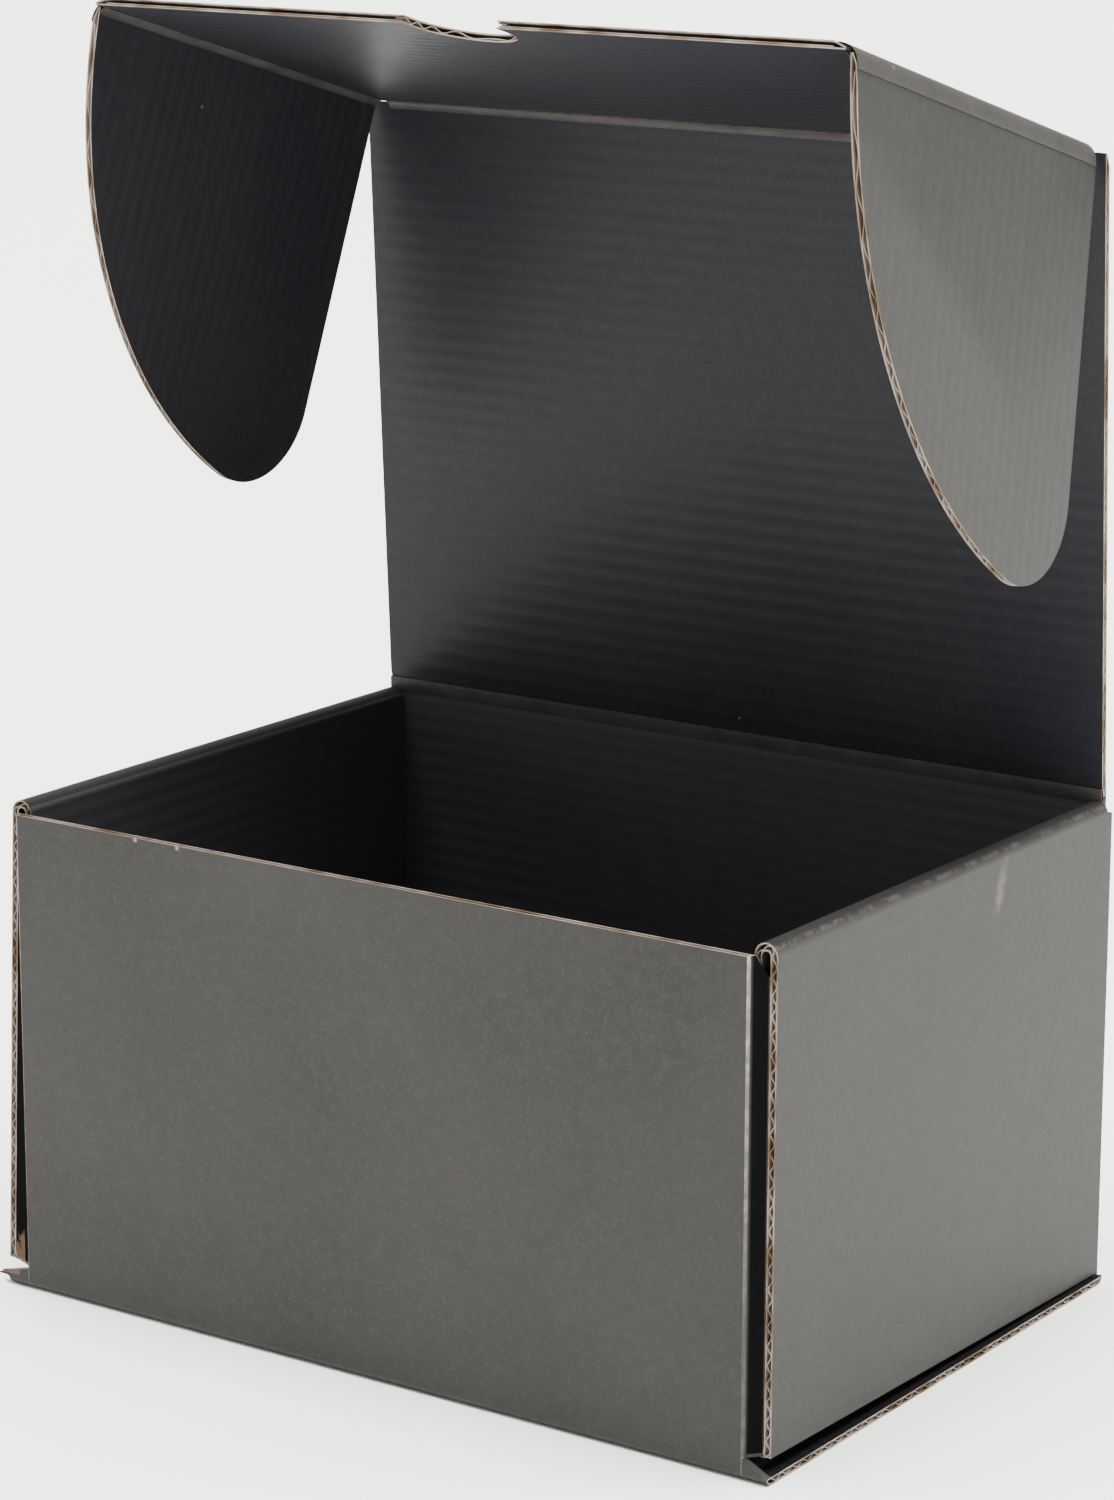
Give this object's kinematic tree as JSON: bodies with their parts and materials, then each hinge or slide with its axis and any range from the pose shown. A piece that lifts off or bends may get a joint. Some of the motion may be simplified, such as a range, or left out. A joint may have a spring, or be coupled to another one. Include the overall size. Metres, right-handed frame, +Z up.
{
  "type": "cardboard box",
  "caption": "Open folded mailer box in black corrugated board with a hinged lid, a tuck flap with a thumb notch and side ears.",
  "frame": {"origin": "middle of the floor's underside, on the ground", "axes": "+X to the right as the box is faced, +Y to the back where the lid is hinged, +Z up"},
  "size_m": [0.169, 0.1156, 0.2312],
  "materials": {
    "black_board": "matte"
  },
  "bodies": {
    "tray": {"tray": "black_board"},
    "lid": {"lid_panel": "black_board"},
    "flap": {"tuck_flap": "black_board"},
    "ear_right": {"right_ear": "black_board"},
    "ear_left": {"left_ear": "black_board"}
  },
  "joints": [
    {"name": "lid_hinge", "type": "hinge", "parent": "tray", "child": "lid", "pos_m": [0, 0.05705, 0.0918], "axis": [1, 0, 0], "range_deg": [-87, 44]},
    {"name": "flap_hinge", "type": "hinge", "parent": "lid", "child": "flap", "pos_m": [0, 0.05012, 0.20679], "axis": [1, 0, 0], "range_deg": [-71, 18]},
    {"name": "right_ear_hinge", "type": "hinge", "parent": "flap", "child": "ear_right", "pos_m": [0.0764, 0.05012, 0.20679], "axis": [0, -0.9627, 0.2706], "range_deg": [-78, 85]},
    {"name": "left_ear_hinge", "type": "hinge", "parent": "flap", "child": "ear_left", "pos_m": [-0.0764, 0.05012, 0.20679], "axis": [0, 0.9627, -0.2706], "range_deg": [-78, 85]}
  ]
}
